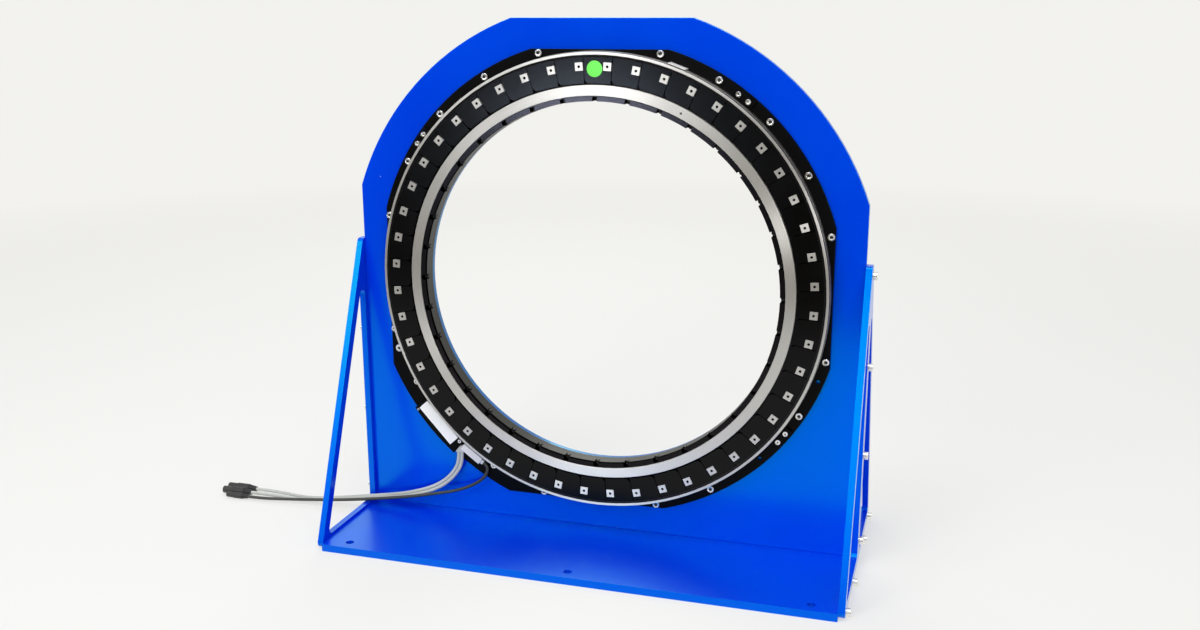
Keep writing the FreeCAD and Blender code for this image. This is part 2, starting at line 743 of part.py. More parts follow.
def cable(label, points, diameter):
    # straight runs joined by arcs as large as the shorter run of each pair allows
    points = [Vector(*point) for point in points]
    edges = []
    radii = []
    start = points[0]
    for before, here, after in zip(points, points[1:], points[2:]):
        come = (here - before).normalize()
        go = (after - here).normalize()
        turn = come.getAngle(go)
        reach = 0.45 * min(before.distanceToPoint(here), here.distanceToPoint(after))
        radius = reach / math.tan(turn / 2)
        radii.append(radius)
        into = here - come * reach
        out = here + go * reach
        bisector = (go - come).normalize()
        centre = here + bisector * math.hypot(radius, reach)
        middle = centre - bisector * radius
        edges.append(Part.LineSegment(start, into).toShape())
        edges.append(Part.Arc(into, middle, out).toShape())
        start = out
    edges.append(Part.LineSegment(start, points[-1]).toShape())
    path = Part.Wire(edges)
    section = Part.Wire([Part.Circle(points[0], points[1] - points[0], diameter / 2).toShape()])
    tube = path.makePipeShell([section], True, False)
    expected = math.pi * diameter ** 2 / 4 * path.Length
    print(f"{label}: length {path.Length:.1f}, smallest radius {min(radii):.1f}, "
          f"volume {tube.Volume / expected:.4f} of section times length")
    group(label, [tube])


def plug(label, tip, diameter, length, boot_diameter, boot_length):
    # a round plug lying along -X, whose boot meets the cable's end
    back = Vector(-1, 0, 0)
    boot = Part.makeCone(boot_diameter / 2, diameter / 2, boot_length, tip, back)
    shell = Part.makeCylinder(diameter / 2, length, tip + back * boot_length, back)
    group(label, [boot.fuse(shell).removeSplitter()])


def make_cables():
    # the two motor cables lie side by side, and the thin sensor cable runs in front of them
    upper = [(-204.2, -13.2, 100), (-204.2, -13.2, 86), (-211, -13.8, 71.6), (-223.6, -14.8, 57.2),
             (-241, -15.7, 45.7), (-262.6, -16.4, 36.8), (-294, -17.1, 27.9), (-338, -17.6, 20.3),
             (-394, -17.5, 10.2), (-446, -16.6, 2.8), (-492, -14, 6), (-532, -14, 6)]
    lower = [(-199.2, -13.2, 100), (-199.2, -13.2, 85), (-206.4, -14.4, 69.6), (-220.2, -16.4, 54),
             (-238.6, -17.8, 41.9), (-261, -19.2, 33), (-293.6, -20.9, 24.9), (-338, -22.4, 19.4),
             (-394, -22.8, 10.1), (-446, -24.2, 2.8), (-492, -28, 6), (-532, -28, 6)]
    thin = [(-167.69, -12.5, 87), (-162.46, -12.5, 83.14), (-161.8, -13.3, 74.2), (-166, -15, 66.2),
            (-174.8, -16.6, 58.8), (-188.6, -18.6, 51), (-208, -21.2, 43.8), (-236, -23.8, 37.6),
            (-276, -26.4, 29.2), (-326, -27.8, 20.6), (-380, -28.4, 10.2), (-434, -31, 2.7),
            (-484, -38, 3), (-510, -40, 4.5), (-530, -40, 4.5)]
    for label, points in (("motor_cable_upper", upper), ("motor_cable_lower", lower)):
        cable(label, points, size("motor_cable_diameter"))
        plug(label.replace("cable", "plug"), Vector(*points[-1]), size("motor_plug_diameter"),
             size("motor_plug_length"), size("motor_boot_diameter"), size("motor_boot_length"))
    cable("sensor_cable", thin, size("sensor_cable_diameter"))
    plug("sensor_plug", Vector(*thin[-1]), size("sensor_plug_diameter"), size("sensor_plug_length"),
         size("sensor_boot_diameter"), size("sensor_boot_length"))


make_base()
make_upright_plate()
make_gusset("left_gusset", "-base_width / 2 - gusset_thickness")
make_gusset("right_gusset", "base_width / 2")
make_gusset_screws("left_gusset_screws", -1)
make_gusset_screws("right_gusset_screws", 1)
make_flange()
make_stage_screws()
make_bearing()
make_ring_screws()
make_rotor()
make_motor()
make_encoder()
make_cable_corner(make_label_box())
make_cables()
doc.recompute()

for item in doc.Objects:
    if "Invalid" in item.State or "Error" in item.State:
        raise RuntimeError(f"{item.Label} did not build: {item.State}")
for item in parts:
    if item.Shape.isNull() or not item.Shape.isValid():
        raise RuntimeError(f"{item.Label} has no valid shape")

os.makedirs("parts", exist_ok=True)
for item in parts:
    item.Shape.exportStep(f"parts/{item.Label}.step")
    print(f"{item.Label}: {len(item.Shape.Solids)} solids, {item.Shape.Volume / 1000:.2f} cm3")
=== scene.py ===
import json
import math

import bmesh
import bpy
from mathutils import Matrix, Vector

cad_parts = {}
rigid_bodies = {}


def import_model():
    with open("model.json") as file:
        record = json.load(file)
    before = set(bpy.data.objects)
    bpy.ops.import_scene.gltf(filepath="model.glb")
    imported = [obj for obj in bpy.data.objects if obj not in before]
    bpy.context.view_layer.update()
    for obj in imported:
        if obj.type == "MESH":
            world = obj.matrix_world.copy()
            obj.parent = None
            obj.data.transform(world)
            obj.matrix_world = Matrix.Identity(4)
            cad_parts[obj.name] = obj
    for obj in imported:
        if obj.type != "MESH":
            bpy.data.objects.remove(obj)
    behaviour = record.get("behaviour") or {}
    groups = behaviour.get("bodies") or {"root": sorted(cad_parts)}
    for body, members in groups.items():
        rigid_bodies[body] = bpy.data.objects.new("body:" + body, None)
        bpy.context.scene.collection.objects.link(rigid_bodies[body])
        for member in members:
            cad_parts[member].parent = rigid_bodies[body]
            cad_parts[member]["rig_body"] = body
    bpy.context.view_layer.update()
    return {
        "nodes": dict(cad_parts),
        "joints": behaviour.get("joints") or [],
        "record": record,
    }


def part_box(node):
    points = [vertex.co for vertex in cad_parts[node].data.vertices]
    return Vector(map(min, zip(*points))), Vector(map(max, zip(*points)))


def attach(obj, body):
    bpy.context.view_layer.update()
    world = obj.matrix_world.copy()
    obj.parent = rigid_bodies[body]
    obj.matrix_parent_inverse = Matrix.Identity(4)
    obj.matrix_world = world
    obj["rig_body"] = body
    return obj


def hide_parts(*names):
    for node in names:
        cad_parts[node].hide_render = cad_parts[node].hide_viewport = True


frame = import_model()
nodes = frame["nodes"]
spin = next(joint for joint in frame["joints"] if joint["name"] == "rotor_turn")
stageAxis = Vector(spin["pos_m"])
slotOf = {row["node"]: row["material_slot"] for row in frame["record"]["subparts"]}
print("frame loaded:", len(nodes), "nodes")


# node helpers

unitSpan = (0.0, 1.0)
cloudLook = {"detail": 3.0, "roughness": 0.55}


def feed(tree, socket, value):
    if isinstance(value, bpy.types.NodeSocket):
        tree.links.new(value, socket)
    else:
        socket.default_value = value


def opaque(colour):
    return (*colour, 1)


def maths(tree, operation, first, second=0.0, clamp=False):
    node = tree.nodes.new("ShaderNodeMath")
    node.operation = operation
    node.use_clamp = clamp
    feed(tree, node.inputs[0], first)
    feed(tree, node.inputs[1], second)
    return node.outputs[0]


def vectorMaths(tree, operation, first, second, output="Vector"):
    node = tree.nodes.new("ShaderNodeVectorMath")
    node.operation = operation
    feed(tree, node.inputs[0], first)
    feed(tree, node.inputs[1], second)
    return node.outputs[output]


def spread(tree, value, span, newSpan):
    # moves a value from one span to another
    node = tree.nodes.new("ShaderNodeMapRange")
    feed(tree, node.inputs["Value"], value)
    node.inputs["From Min"].default_value, node.inputs["From Max"].default_value = span
    node.inputs["To Min"].default_value, node.inputs["To Max"].default_value = newSpan
    return node.outputs["Result"]


def blendColour(tree, factor, first, second):
    node = tree.nodes.new("ShaderNodeMix")
    node.data_type = "RGBA"
    feed(tree, node.inputs[0], factor)
    feed(tree, node.inputs[6], first)
    feed(tree, node.inputs[7], second)
    return node.outputs[2]


def cloud(tree, vector, scale, detail=cloudLook["detail"]):
    node = tree.nodes.new("ShaderNodeTexNoise")
    feed(tree, node.inputs["Vector"], vector)
    feed(tree, node.inputs["Scale"], scale)
    node.inputs["Detail"].default_value = detail
    node.inputs["Roughness"].default_value = cloudLook["roughness"]
    return node.outputs["Fac"]


def ownPlace(tree):
    return tree.nodes.new("ShaderNodeTexCoord").outputs["Object"]


def bumpFrom(tree, height, strength, distance):
    node = tree.nodes.new("ShaderNodeBump")
    node.inputs["Strength"].default_value = strength
    node.inputs["Distance"].default_value = distance
    feed(tree, node.inputs["Height"], height)
    return node.outputs["Normal"]


def newGroup(name, inputs, outputs):
    # a node group whose inputs and outputs are all plain numbers
    group = bpy.data.node_groups.new(name, "ShaderNodeTree")
    for label, value in inputs.items():
        socket = group.interface.new_socket(label, in_out="INPUT", socket_type="NodeSocketFloat")
        socket.default_value = value
    for label in outputs:
        group.interface.new_socket(label, in_out="OUTPUT", socket_type="NodeSocketFloat")
    return group, group.nodes.new("NodeGroupInput"), group.nodes.new("NodeGroupOutput")


def place(tree, group, **values):
    node = tree.nodes.new("ShaderNodeGroup")
    node.node_tree = group
    for label, value in values.items():
        feed(tree, node.inputs[label], value)
    return node.outputs


# effects that several finishes share

edgeMaskLook = {"samples": 4, "cloudSpan": (0.35, 0.65), "patchSpan": (0.15, 1.0)}
grainLook = {"fineDetail": 2.0, "wideDetail": 4.0, "cloudSpan": (0.3, 0.7)}
turnedLinesLook = {"lineDetail": 3.0, "driftDetail": 2.0, "lineShare": 0.6, "cloudSpan": (0.3, 0.7)}


def makeEdgeMask(look):
    # 1 on sharp corners, broken up by a cloud: rubbed wear on most finishes, a painted highlight along the
    #                                           edges on the blue paint
    group, given, result = newGroup("edgeMask", {"Width": 0.001, "Gain": 3.0, "Patch": 40.0}, ["Mask"])
    rounded = group.nodes.new("ShaderNodeBevel")
    rounded.samples = look["samples"]
    group.links.new(given.outputs["Width"], rounded.inputs["Radius"])
    flat = group.nodes.new("ShaderNodeNewGeometry").outputs["Normal"]
    facing = vectorMaths(group, "DOT_PRODUCT", rounded.outputs["Normal"], flat, "Value")
    turned = maths(group, "SUBTRACT", 1.0, facing, True)
    gained = maths(group, "MULTIPLY", turned, given.outputs["Gain"], True)
    clouded = cloud(group, ownPlace(group), given.outputs["Patch"])
    patch = spread(group, clouded, look["cloudSpan"], look["patchSpan"])
    group.links.new(maths(group, "MULTIPLY", gained, patch, True), result.inputs["Mask"])
    return group


def makeGrain(look):
    # fine pitting for bump and a wide cloud for tint
    group, given, result = newGroup("grain", {"Fine": 900.0, "Wide": 6.0}, ["Height", "Tint"])
    here = ownPlace(group)
    pits = cloud(group, here, given.outputs["Fine"], look["fineDetail"])
    clouded = cloud(group, here, given.outputs["Wide"], look["wideDetail"])
    group.links.new(pits, result.inputs["Height"])
    group.links.new(spread(group, clouded, look["cloudSpan"], unitSpan), result.inputs["Tint"])
    return group


def makeTurnedLines(look):
    # tool lines that run round the stage's axis, and the angle round it
    group, given, result = newGroup("turnedLines", {"Pitch": 4000.0, "Drift": 8.0},
                                    ["Height", "Tint", "Turn"])
    here = ownPlace(group)
    offset = vectorMaths(group, "SUBTRACT", here, stageAxis)
    parts = group.nodes.new("ShaderNodeSeparateXYZ")
    group.links.new(offset, parts.inputs[0])
    across = maths(group, "MULTIPLY", parts.outputs["X"], parts.outputs["X"])
    upward = maths(group, "MULTIPLY", parts.outputs["Z"], parts.outputs["Z"])
    radius = maths(group, "SQRT", maths(group, "ADD", across, upward))
    line = group.nodes.new("ShaderNodeTexNoise")
    line.noise_dimensions = "1D"
    line.inputs["Scale"].default_value = 1.0
    line.inputs["Detail"].default_value = look["lineDetail"]
    group.links.new(maths(group, "MULTIPLY", radius, given.outputs["Pitch"]), line.inputs["W"])
    group.links.new(line.outputs["Fac"], result.inputs["Height"])
    drift = cloud(group, here, given.outputs["Drift"], look["driftDetail"])
    tint = maths(group, "ADD", maths(group, "MULTIPLY", line.outputs["Fac"], look["lineShare"]),
                 maths(group, "MULTIPLY", drift, 1.0 - look["lineShare"]))
    group.links.new(spread(group, tint, look["cloudSpan"], unitSpan), result.inputs["Tint"])
    turn = maths(group, "ARCTAN2", parts.outputs["Z"], parts.outputs["X"])
    group.links.new(turn, result.inputs["Turn"])
    return group


def makeSpecks():
    # sparse pale specks of dust of many sizes
    group, given, result = newGroup("specks", {"Cells": 45.0, "Size": 0.035, "Share": 0.12}, ["Mask"])
    cells = group.nodes.new("ShaderNodeTexVoronoi")
    group.links.new(ownPlace(group), cells.inputs["Vector"])
    group.links.new(given.outputs["Cells"], cells.inputs["Scale"])
    colour = group.nodes.new("ShaderNodeSeparateColor")
    group.links.new(cells.outputs["Color"], colour.inputs[0])
    reach = maths(group, "MULTIPLY", given.outputs["Size"], colour.outputs["Green"])
    small = maths(group, "LESS_THAN", cells.outputs["Distance"], reach)
    chosen = maths(group, "LESS_THAN", colour.outputs["Red"], given.outputs["Share"])
    group.links.new(maths(group, "MULTIPLY", small, chosen), result.inputs["Mask"])
    return group


edgeMask = makeEdgeMask(edgeMaskLook)
grain = makeGrain(grainLook)
turnedLines = makeTurnedLines(turnedLinesLook)
specks = makeSpecks()
print("shared effects built")


# finishes

plainLook = {"metal": 0.0, "index": 1.5, "shine": 0.5, "shineTint": (1, 1, 1)}
dustLook = {"cover": 0.6, "colour": (0.7, 0.75, 0.8)}
quarterTurn = 0.25  # of the tangent, so that gloss runs across the tool lines


def newFinish(name, look):
    look = {**plainLook, **look}
    finish = bpy.data.materials.new(name)
    finish.use_nodes = True
    shader = finish.node_tree.nodes["Principled BSDF"]
    shader.inputs["Metallic"].default_value = look["metal"]
    shader.inputs["IOR"].default_value = look["index"]
    shader.inputs["Specular IOR Level"].default_value = look["shine"]
    shader.inputs["Specular Tint"].default_value = opaque(look["shineTint"])
    return finish, finish.node_tree, shader


def driftingColour(tree, look, tint):
    # the finish's own colour, with its lighter edges where it has any: rubbed wear, and on the blue paint a
    # painted edge highlight
    colour = blendColour(tree, tint, opaque(look["colour"]), opaque(look["drift"]))
    if not look.get("edgeShare"):
        return colour
    edgeWearAndHighlight = place(tree, edgeMask, Width=look["edgeWidth"], Gain=look["edgeGain"], Patch=look["edgePatch"])
    share = maths(tree, "MULTIPLY", edgeWearAndHighlight["Mask"], look["edgeShare"])
    return blendColour(tree, share, colour, opaque(look["edgeColour"]))


def setSurface(tree, shader, look, colour, effect):
    feed(tree, shader.inputs["Base Color"], colour)
    feed(tree, shader.inputs["Roughness"], spread(tree, effect["Tint"], unitSpan, look["rough"]))
    feed(tree, shader.inputs["Normal"], bumpFrom(tree, effect["Height"], look["bump"], look["pit"]))


def grainyFinish(name, look):
    # a colour that drifts, pits in its surface, and specks of dust
    finish, tree, shader = newFinish(name, look)
    pits = place(tree, grain, Fine=look["fine"], Wide=look["wide"])
    colour = driftingColour(tree, look, pits["Tint"])
    if look.get("dust"):
        dots = place(tree, specks, Share=look["dust"])
        cover = maths(tree, "MULTIPLY", dots["Mask"], dustLook["cover"])
        colour = blendColour(tree, cover, colour, opaque(dustLook["colour"]))
    setSurface(tree, shader, look, colour, pits)
    return finish


def turnedFinish(name, look):
    # cut on a lathe about the stage's axis, with gloss drawn out across the tool lines
    finish, tree, shader = newFinish(name, look)
    lines = place(tree, turnedLines, Pitch=look["pitch"], Drift=look["wide"])
    colour = driftingColour(tree, look, lines["Tint"])
    if look.get("ticks"):
        wave = maths(tree, "SINE", maths(tree, "MULTIPLY", lines["Turn"], look["ticks"]))
        tick = maths(tree, "GREATER_THAN", wave, look["tickEdge"])
        share = maths(tree, "MULTIPLY", tick, look["tickShare"])
        colour = blendColour(tree, share, colour, opaque(look["tickColour"]))
    setSurface(tree, shader, look, colour, lines)
    shader.inputs["Anisotropic"].default_value = look["draw"]
    shader.inputs["Anisotropic Rotation"].default_value = quarterTurn
    across = tree.nodes.new("ShaderNodeTangent")
    across.direction_type = "RADIAL"
    across.axis = "Y"
    tree.links.new(across.outputs["Tangent"], shader.inputs["Tangent"])
    return finish


# the blue paint's lighter edge colour is a painted highlight along its broken edges
paintLook = {"colour": (0.0, 0.024, 0.72), "drift": (0.0, 0.030, 0.77), "edgeColour": (0.0, 0.26, 0.88),
             "edgeShare": 0.55, "edgeWidth": 0.0012, "edgeGain": 4.0, "edgePatch": 25.0,
             "fine": 700.0, "wide": 5.0, "rough": (0.18, 0.24), "bump": 0.04, "pit": 0.0004,
             "index": 2.0, "shineTint": (0.0, 0.95, 1.0), "dust": 0.10}
basePaintLook = dict(paintLook, rough=(0.33, 0.40))
holePaintLook = dict(paintLook, colour=(0.015, 0.050, 0.36), drift=(0.02, 0.060, 0.40), edgeShare=0.0)

anodisedLook = {"colour": (0.0012, 0.0012, 0.0014), "drift": (0.002, 0.002, 0.0023),
                "edgeColour": (0.07, 0.07, 0.07), "edgeShare": 0.45, "edgeWidth": 0.0006, "edgeGain": 3.0,
                "edgePatch": 60.0, "fine": 2200.0, "wide": 9.0, "rough": (0.36, 0.46), "bump": 0.12,
                "pit": 0.0002, "shine": 0.07, "dust": 0.04}
boreLook = dict(anodisedLook, edgeShare=0.0, shine=0.42, shineTint=(1.0, 1.0, 0.86))
tileLook = {"colour": (0.0005, 0.0005, 0.0006), "drift": (0.001, 0.001, 0.0011), "fine": 2600.0, "wide": 14.0,
            "rough": (0.19, 0.25), "bump": 0.06, "pit": 0.0002, "shine": 0.15, "dust": 0.06}
# black without gloss: painted shade in the gaps between tiles, the pads' holes and the inner ring's rim and
# notches
paintedShadeLook = dict(tileLook, shine=0.0, dust=0.0)

turnedSilverLook = {"metal": 1.0, "colour": (0.62, 0.61, 0.585), "drift": (0.73, 0.72, 0.695),
                    "edgeColour": (0.9, 0.9, 0.9), "edgeShare": 0.5, "edgeWidth": 0.0006, "edgeGain": 3.0,
                    "edgePatch": 30.0, "pitch": 1800.0, "wide": 7.0, "rough": (0.36, 0.44), "bump": 0.03,
                    "pit": 0.0002, "draw": 0.95}
turnedBlackLook = {"colour": (0.0012, 0.0012, 0.0014), "drift": (0.002, 0.002, 0.0023),
                   "edgeColour": (0.12, 0.12, 0.12), "edgeShare": 0.5, "edgeWidth": 0.0006, "edgeGain": 3.0,
                   "edgePatch": 50.0, "pitch": 2400.0, "wide": 9.0, "rough": (0.24, 0.30), "bump": 0.05,
                   "pit": 0.0002, "draw": 0.5, "shine": 0.3, "shineTint": (0.90, 0.87, 1.0)}
ringFrontLook = dict(turnedBlackLook, shine=0.15, shineTint=(1.0, 0.90, 0.97), draw=0.0, rough=(0.20, 0.25),
                     edgeShare=0.0)
scaleLook = {"metal": 1.0, "colour": (0.34, 0.33, 0.32), "drift": (0.44, 0.43, 0.42),
             "edgeColour": (0.8, 0.8, 0.8), "edgeShare": 0.4, "edgeWidth": 0.0004, "edgeGain": 3.0,
             "edgePatch": 30.0, "pitch": 3000.0, "wide": 9.0, "rough": (0.28, 0.36), "bump": 0.05,
             "pit": 0.0002, "draw": 0.5, "ticks": 1440.0, "tickEdge": 0.2, "tickShare": 0.7,
             "tickColour": (0.05, 0.05, 0.05)}

zincLook = {"metal": 1.0, "colour": (0.70, 0.70, 0.68), "drift": (0.82, 0.82, 0.79),
            "edgeColour": (0.95, 0.95, 0.93), "edgeShare": 0.5, "edgeWidth": 0.0003, "edgeGain": 3.0,
            "edgePatch": 120.0, "fine": 2500.0, "wide": 90.0, "rough": (0.20, 0.32), "bump": 0.08,
            "pit": 0.0001}
blackScrewLook = dict(zincLook, metal=0.0, colour=(0.016, 0.016, 0.017), drift=(0.026, 0.026, 0.027),
                      edgeColour=(0.12, 0.12, 0.12), rough=(0.28, 0.4), shine=0.4)
steelLook = dict(zincLook, colour=(0.6, 0.6, 0.6), drift=(0.7, 0.7, 0.7), rough=(0.12, 0.2))
brassLook = dict(zincLook, colour=(0.62, 0.46, 0.18), drift=(0.72, 0.55, 0.24), edgeColour=(0.85, 0.7, 0.4))
magnetLook = dict(zincLook, colour=(0.34, 0.34, 0.35), drift=(0.42, 0.42, 0.43), edgeColour=(0.6, 0.6, 0.6))
coilLook = {"colour": (0.21, 0.075, 0.025), "drift": (0.30, 0.11, 0.035), "edgeColour": (0.45, 0.2, 0.08),
            "edgeShare": 0.4, "edgeWidth": 0.0006, "edgeGain": 3.0, "edgePatch": 60.0, "fine": 1500.0,
            "wide": 20.0, "rough": (0.35, 0.5), "bump": 0.3, "pit": 0.0004}

stickerLook = {"colour": (0.15, 0.86, 0.095), "drift": (0.18, 0.93, 0.12), "edgeColour": (0.3, 0.95, 0.25),
               "edgeShare": 0.3, "edgeWidth": 0.0003, "edgeGain": 2.0, "edgePatch": 90.0, "fine": 1800.0,
               "wide": 40.0, "rough": (0.42, 0.52), "bump": 0.06, "pit": 0.0001, "shine": 0.4}
labelLook = {"colour": (0.94, 0.94, 0.90), "drift": (0.98, 0.98, 0.945), "edgeColour": (0.7, 0.7, 0.69),
             "edgeShare": 0.4, "edgeWidth": 0.0003, "edgeGain": 2.0, "edgePatch": 90.0, "fine": 2400.0,
             "wide": 35.0, "rough": (0.32, 0.45), "bump": 0.08, "pit": 0.0001, "shine": 0.45}
whiteBlockLook = dict(labelLook, colour=(0.74, 0.74, 0.71), drift=(0.83, 0.83, 0.80), rough=(0.36, 0.48))
greyJacketLook = {"colour": (0.47, 0.49, 0.465), "drift": (0.55, 0.57, 0.54), "fine": 1400.0, "wide": 22.0,
                  "rough": (0.36, 0.5), "bump": 0.12, "pit": 0.0002, "shine": 0.45}
blackJacketLook = dict(greyJacketLook, colour=(0.030, 0.031, 0.026), drift=(0.046, 0.048, 0.040))
plugShellLook = dict(blackJacketLook, colour=(0.018, 0.018, 0.019), drift=(0.03, 0.03, 0.031), bump=0.2)

# by the record's material slots
finishes = {
    "blue_paint": grainyFinish("bluePaint", paintLook),
    "black_anodised": grainyFinish("blackAnodised", anodisedLook),
    "brushed_ring": turnedFinish("turnedSilver", turnedSilverLook),
    "scale_steel": turnedFinish("scaleBand", scaleLook),
    "zinc_screw": grainyFinish("zincPlate", zincLook),
    "black_screw": grainyFinish("blackOxide", blackScrewLook),
    "bearing_steel": grainyFinish("polishedSteel", steelLook),
    "cage_brass": grainyFinish("cageBrass", brassLook),
    "magnet_coat": grainyFinish("magnetNickel", magnetLook),
    "coil_resin": grainyFinish("pottedCoil", coilLook),
    "green_dot": grainyFinish("greenSticker", stickerLook),
    "white_label": grainyFinish("blankLabel", labelLook),
    "grey_jacket": grainyFinish("greyJacket", greyJacketLook),
    "black_jacket": grainyFinish("blackJacket", blackJacketLook),
    "plug_shell": grainyFinish("plugMoulding", plugShellLook),
}
# for single pieces and faces
faceFinishes = {
    "basePaint": grainyFinish("basePaint", basePaintLook),
    "holePaint": grainyFinish("holePaint", holePaintLook),
    "tile": grainyFinish("tileAnodised", tileLook),
    "seam": grainyFinish("tileSeam", paintedShadeLook),
    "bore": grainyFinish("boreAnodised", boreLook),
    "turnedBlack": turnedFinish("turnedBlack", turnedBlackLook),
    "ringFront": turnedFinish("ringFront", ringFrontLook),
    "whiteBlock": grainyFinish("whiteBlock", whiteBlockLook),
}
print("finishes built:", len(finishes) + len(faceFinishes))


# building pieces

meshLook = {"weld": 1e-6, "flatAngle": 0.4, "sharpAngle": 28.0, "smoothAngle": 38.0}  # metres and degrees


def pieceName(node):
    first, *others = node.split("_")
    return first + "".join(word.capitalize() for word in others)


def toPiece(name, shape, node, finish=None):
    # turns a bmesh into a piece that stands for a node of the frame
    shape.normal_update()
    mesh = bpy.data.meshes.new(name)
    shape.to_mesh(mesh)
    shape.free()
    for face in mesh.polygons:
        face.use_smooth = True
    mesh.set_sharp_from_angle(angle=math.radians(meshLook["smoothAngle"]))
    piece = bpy.data.objects.new(name, mesh)
    bpy.context.scene.collection.objects.link(piece)
    mesh.materials.append(finish or finishes[slotOf[node]])
    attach(piece, nodes[node]["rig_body"])
    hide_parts(node)
    return piece


def weldedCopy(node):
    shape = bmesh.new()
    shape.from_mesh(nodes[node].data)
    bmesh.ops.remove_doubles(shape, verts=shape.verts, dist=meshLook["weld"])
    return shape


def brokenEdges(node, width, finish=None, steps=2, reshape=None, others=(), pick=None):
    # the node's own form with its sharp edges broken; pick gives a face one of the other finishes
    shape = weldedCopy(node)
    bmesh.ops.dissolve_limit(shape, angle_limit=math.radians(meshLook["flatAngle"]),
                             verts=shape.verts, edges=shape.edges)
    if reshape:
        reshape(shape)
    sharp = [edge for edge in shape.edges
             if len(edge.link_faces) == 2 and edge.calc_face_angle(0) > math.radians(meshLook["sharpAngle"])]
    bmesh.ops.bevel(shape, geom=sharp, offset=width, segments=steps, profile=0.5,
                    affect="EDGES", clamp_overlap=True)
    piece = toPiece(pieceName(node), shape, node, finish)
    for other in others:
        piece.data.materials.append(other)
    for face in piece.data.polygons:
        face.material_index = int(pick(face)) if pick else 0
    even = piece.modifiers.new("evenFaces", "WEIGHTED_NORMAL")
    even.keep_sharp = True
    return piece


def fromAxis(point):
    return math.hypot(point.x - stageAxis.x, point.z - stageAxis.z)


def runsAlongAxis(face, limit):
    # a wall, not a front: little of its normal points along the stage's axis
    return abs(face.normal.y) < limit


def keep(node):
    # the node's own mesh, in its finish
    nodes[node].data.materials.clear()
    nodes[node].data.materials.append(finishes[slotOf[node]])


def islands(node):
    # the box of each separate solid in a node
    shape = weldedCopy(node)
    waiting = set(shape.verts)
    boxes = []
    while waiting:
        queue = [waiting.pop()]
        low = queue[0].co.copy()
        high = queue[0].co.copy()
        while queue:
            corner = queue.pop()
            low = Vector(map(min, low, corner.co))
            high = Vector(map(max, high, corner.co))
            for edge in corner.link_edges:
                other = edge.other_vert(corner)
                if other in waiting:
                    waiting.remove(other)
                    queue.append(other)
        boxes.append((low, high))
    shape.free()
    return sorted(boxes, key=lambda box: tuple(box[0]))


def loft(shape, loops):
    # skins equal loops of points and closes both ends; gives the faces band by band, then the last end
    rows = [[shape.verts.new(point) for point in loop] for loop in loops]
    count = len(rows[0])
    bands = []
    for row, following in zip(rows, rows[1:]):
        band = []
        for step in range(count):
            ahead = (step + 1) % count
            band.append(shape.faces.new((row[step], row[ahead], following[ahead], following[step])))
        bands.append(band)
    shape.faces.new(list(reversed(rows[0])))
    bands.append([shape.faces.new(rows[-1])])
    return bands


def onCircle(reach, angle, height):
    return Vector((reach * math.cos(angle), reach * math.sin(angle), height))


def circleLoop(radius, height, count, ripple=0.0):
    loop = []
    for step in range(count):
        reach = radius - (ripple if step % 2 else 0.0)
        loop.append(onCircle(reach, 2 * math.pi * step / count, height))
    return loop


def hexLoop(acrossFlats, height, count):
    loop = []
    for step in range(count):
        angle = 2 * math.pi * step / count
        within = (angle + math.pi / 6) % (math.pi / 3) - math.pi / 6
        loop.append(onCircle(acrossFlats / 2 / math.cos(within), angle, height))
    return loop


def standOn(shape, verts, base, axis, turn=0.0):
    upright = Vector((0, 0, 1)).rotation_difference(axis).to_matrix().to_4x4()
    whole = Matrix.Translation(base) @ upright @ Matrix.Rotation(turn, 4, "Z")
    bmesh.ops.transform(shape, matrix=whole, verts=verts)


# shares of the chamfer for the rim and of the width across flats for the socket, and the socket's first band
headProfile = {"shoulder": 1.6, "lip": 0.3, "lipDrop": 0.6, "mouth": 0.62, "mouthDrop": 0.05, "tip": 0.15,
               "tipDrop": 0.1, "socketFrom": 5}


def socketHeads(node, look, axis):
    # socket head screws, one on each solid of the node, with their sockets in painted shade: the socket's
    # faces take the black oxide finish
    shape = bmesh.new()
    axis = Vector(axis)
    count = look["count"]
    chamfer = look["chamfer"]
    flats = look["flats"]
    form = headProfile
    for number, (low, high) in enumerate(islands(node)):
        size = high - low
        height = abs(size.dot(axis))
        radius = max(size) / 2 if height < max(size) else sorted(size)[1] / 2
        base = (low + high) / 2 - axis * height / 2
        floor = height - look["depth"]
        first = len(shape.verts)
        bands = loft(shape, [
            circleLoop(radius, 0.0, count, look["knurl"]),
            circleLoop(radius, height - chamfer * form["shoulder"], count, look["knurl"]),
            circleLoop(radius - chamfer * form["lip"], height - chamfer * form["lipDrop"], count),
            circleLoop(radius - chamfer, height, count),
            circleLoop(flats * form["mouth"], height, count),
            hexLoop(flats, height - flats * form["mouthDrop"], count),
            hexLoop(flats, floor, count),
            circleLoop(flats * form["tip"], floor - flats * form["tipDrop"], count)])
        for band in bands[form["socketFrom"]:]:
            for face in band:
                face.material_index = 1
        shape.verts.ensure_lookup_table()
        standOn(shape, shape.verts[first:], base, axis, number * look["twist"])
    piece = toPiece(pieceName(node), shape, node)
    # black inside the socket: on the zinc heads this is painted shade
    piece.data.materials.append(finishes["black_screw"])
    return piece


# cords first: their routes repeat those of the solids, in metres

